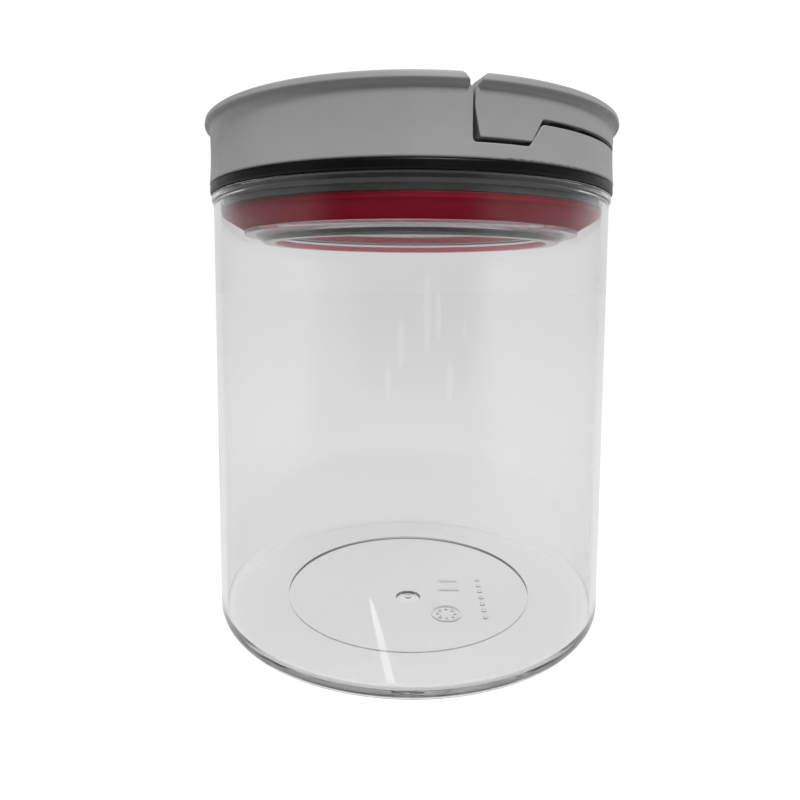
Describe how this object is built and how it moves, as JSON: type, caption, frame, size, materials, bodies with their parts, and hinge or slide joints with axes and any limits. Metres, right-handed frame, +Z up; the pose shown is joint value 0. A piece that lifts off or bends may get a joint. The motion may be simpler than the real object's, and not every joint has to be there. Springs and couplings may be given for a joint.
{
  "type": "food canister",
  "caption": "Round clear kitchen canister with a grey flip-lock lid, a red silicone plug seal and a black rim gasket",
  "frame": {"origin": "middle of the jar's foot, on the surface it stands on", "axes": "+Z up along the jar's axis; the handle turns about a line along Y, and its half ring lies on the +X side"},
  "size_m": [0.1118, 0.1118, 0.1334],
  "materials": {
    "clear_jar": "polished clear",
    "clear_plug": "polished clear",
    "grey_lid": "fine satin",
    "grey_cover": "fine satin",
    "grey_housing": "satin",
    "black_rubber": "smooth",
    "red_silicone": "smooth",
    "steel": "satin",
    "white_acetal": "satin"
  },
  "bodies": {
    "jar": {"jar": "clear_jar"},
    "lid": {"lid_shell": "grey_lid", "top_cover": "grey_cover", "lower_housing": "grey_housing", "housing_screws": "steel", "rim_gasket": "black_rubber"},
    "handle": {"handle": "grey_lid", "cam_front": "white_acetal", "cam_rear": "white_acetal"},
    "plug": {"plug": "clear_plug", "seal": "red_silicone", "lift_core": "grey_lid", "lift_frame": "white_acetal", "plug_screws": "steel", "lift_pin_front": "steel", "lift_pin_rear": "steel"}
  },
  "joints": [
    {"name": "lid_lift", "type": "slide", "parent": "jar", "child": "lid", "axis": [0, 0, 1], "range_m": [0, 0.1]},
    {"name": "handle_flip", "type": "hinge", "parent": "lid", "child": "handle", "pos_m": [0, 0, 0.129], "axis": [0, -1, 0], "range_deg": [0, 90]},
    {"name": "plug_drop", "type": "slide", "parent": "lid", "child": "plug", "axis": [0, 0, -1], "range_m": [0, 0.00302], "deforming": ["seal"]}
  ],
  "couplings": [
    {"joint": "plug_drop", "follows": "handle_flip", "m_per_rad": 0.0019099}
  ]
}
